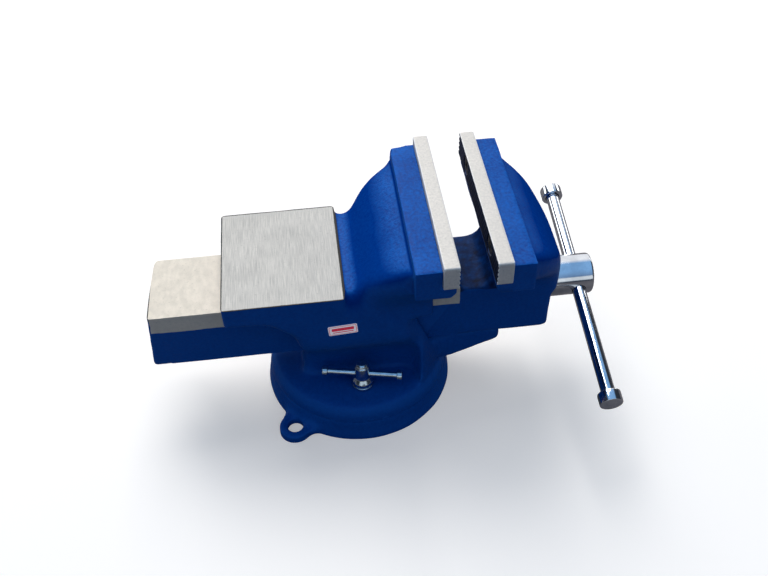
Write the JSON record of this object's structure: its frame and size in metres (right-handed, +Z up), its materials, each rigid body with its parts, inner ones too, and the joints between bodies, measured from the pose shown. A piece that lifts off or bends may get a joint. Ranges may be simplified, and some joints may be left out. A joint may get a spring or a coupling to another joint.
{
  "type": "bench vise",
  "caption": "Swivel-base bench vise: cast body with rear anvil, sliding jaw driven by a screw, steel jaw plates, sliding tommy bar and swivel lock bolts.",
  "frame": {"origin": "on the swivel axis, in the plane of the base's underside", "axes": "+X along the clamping screw towards the handle, +Y across the jaws, +Z up"},
  "size_m": [0.3469, 0.2037, 0.1788],
  "materials": {
    "blue_enamel": "satin",
    "ground_steel": "ground",
    "chrome_plate": "polished",
    "zinc_plate": "plated",
    "dark_steel": "oiled",
    "label_film": "satin"
  },
  "bodies": {
    "base": {"swivel_base": "blue_enamel"},
    "vise": {"vise_body": "blue_enamel", "fixed_jaw_plate": "ground_steel", "fixed_plate_screw_near": "dark_steel", "fixed_plate_screw_far": "dark_steel", "spindle_nut": "dark_steel", "nut_bolt": "dark_steel", "side_label": "label_film", "t_bolt_near": "zinc_plate", "t_bolt_far": "zinc_plate", "lock_washer_near": "zinc_plate", "lock_washer_far": "zinc_plate"},
    "jaw": {"moving_jaw": "blue_enamel", "moving_jaw_plate": "ground_steel", "moving_plate_screw_near": "dark_steel", "moving_plate_screw_far": "dark_steel", "thrust_washer": "zinc_plate"},
    "screw": {"spindle": "chrome_plate", "spindle_collar": "dark_steel", "collar_pin": "dark_steel"},
    "handle": {"tommy_bar": "chrome_plate", "tommy_knob_near": "chrome_plate", "tommy_knob_far": "chrome_plate"},
    "near_lock_nut": {"lock_nut_near": "zinc_plate"},
    "near_lock_bar": {"lock_bar_near": "zinc_plate", "lock_cap_near_left": "zinc_plate", "lock_cap_near_right": "zinc_plate"},
    "far_lock_nut": {"lock_nut_far": "zinc_plate"},
    "far_lock_bar": {"lock_bar_far": "zinc_plate", "lock_cap_far_left": "zinc_plate", "lock_cap_far_right": "zinc_plate"}
  },
  "joints": [
    {"name": "swivel", "type": "hinge", "parent": "base", "child": "vise", "pos_m": [0, 0, 0.018], "axis": [0, 0, 1], "continuous": true},
    {"name": "jaw_slide", "type": "slide", "parent": "vise", "child": "jaw", "axis": [1, 0, 0], "range_m": [-0.0252, 0.12]},
    {"name": "spindle_turn", "type": "hinge", "parent": "jaw", "child": "screw", "pos_m": [0.15, 0, 0.086], "axis": [1, 0, 0], "range_deg": [-1512, 7200]},
    {"name": "tommy_bar_slide", "type": "slide", "parent": "screw", "child": "handle", "axis": [0, 0.982, 0.1891], "range_m": [-0.0615, 0.089]},
    {"name": "near_lock_turn", "type": "hinge", "parent": "vise", "child": "near_lock_nut", "pos_m": [0, -0.0445, 0.0447], "axis": [0, 0, 1], "range_deg": [-3, 26]},
    {"name": "near_lock_bar_slide", "type": "slide", "parent": "near_lock_nut", "child": "near_lock_bar", "axis": [0.9774, -0.2113, 0], "range_m": [-0.006, 0.006]},
    {"name": "far_lock_turn", "type": "hinge", "parent": "vise", "child": "far_lock_nut", "pos_m": [0, 0.0445, 0.0447], "axis": [0, 0, 1], "range_deg": [-3, 26]},
    {"name": "far_lock_bar_slide", "type": "slide", "parent": "far_lock_nut", "child": "far_lock_bar", "axis": [0.9774, -0.2113, 0], "range_m": [-0.006, 0.006]}
  ],
  "couplings": [
    {"joint": "spindle_turn", "follows": "jaw_slide", "rad_per_m": 1047.2}
  ]
}
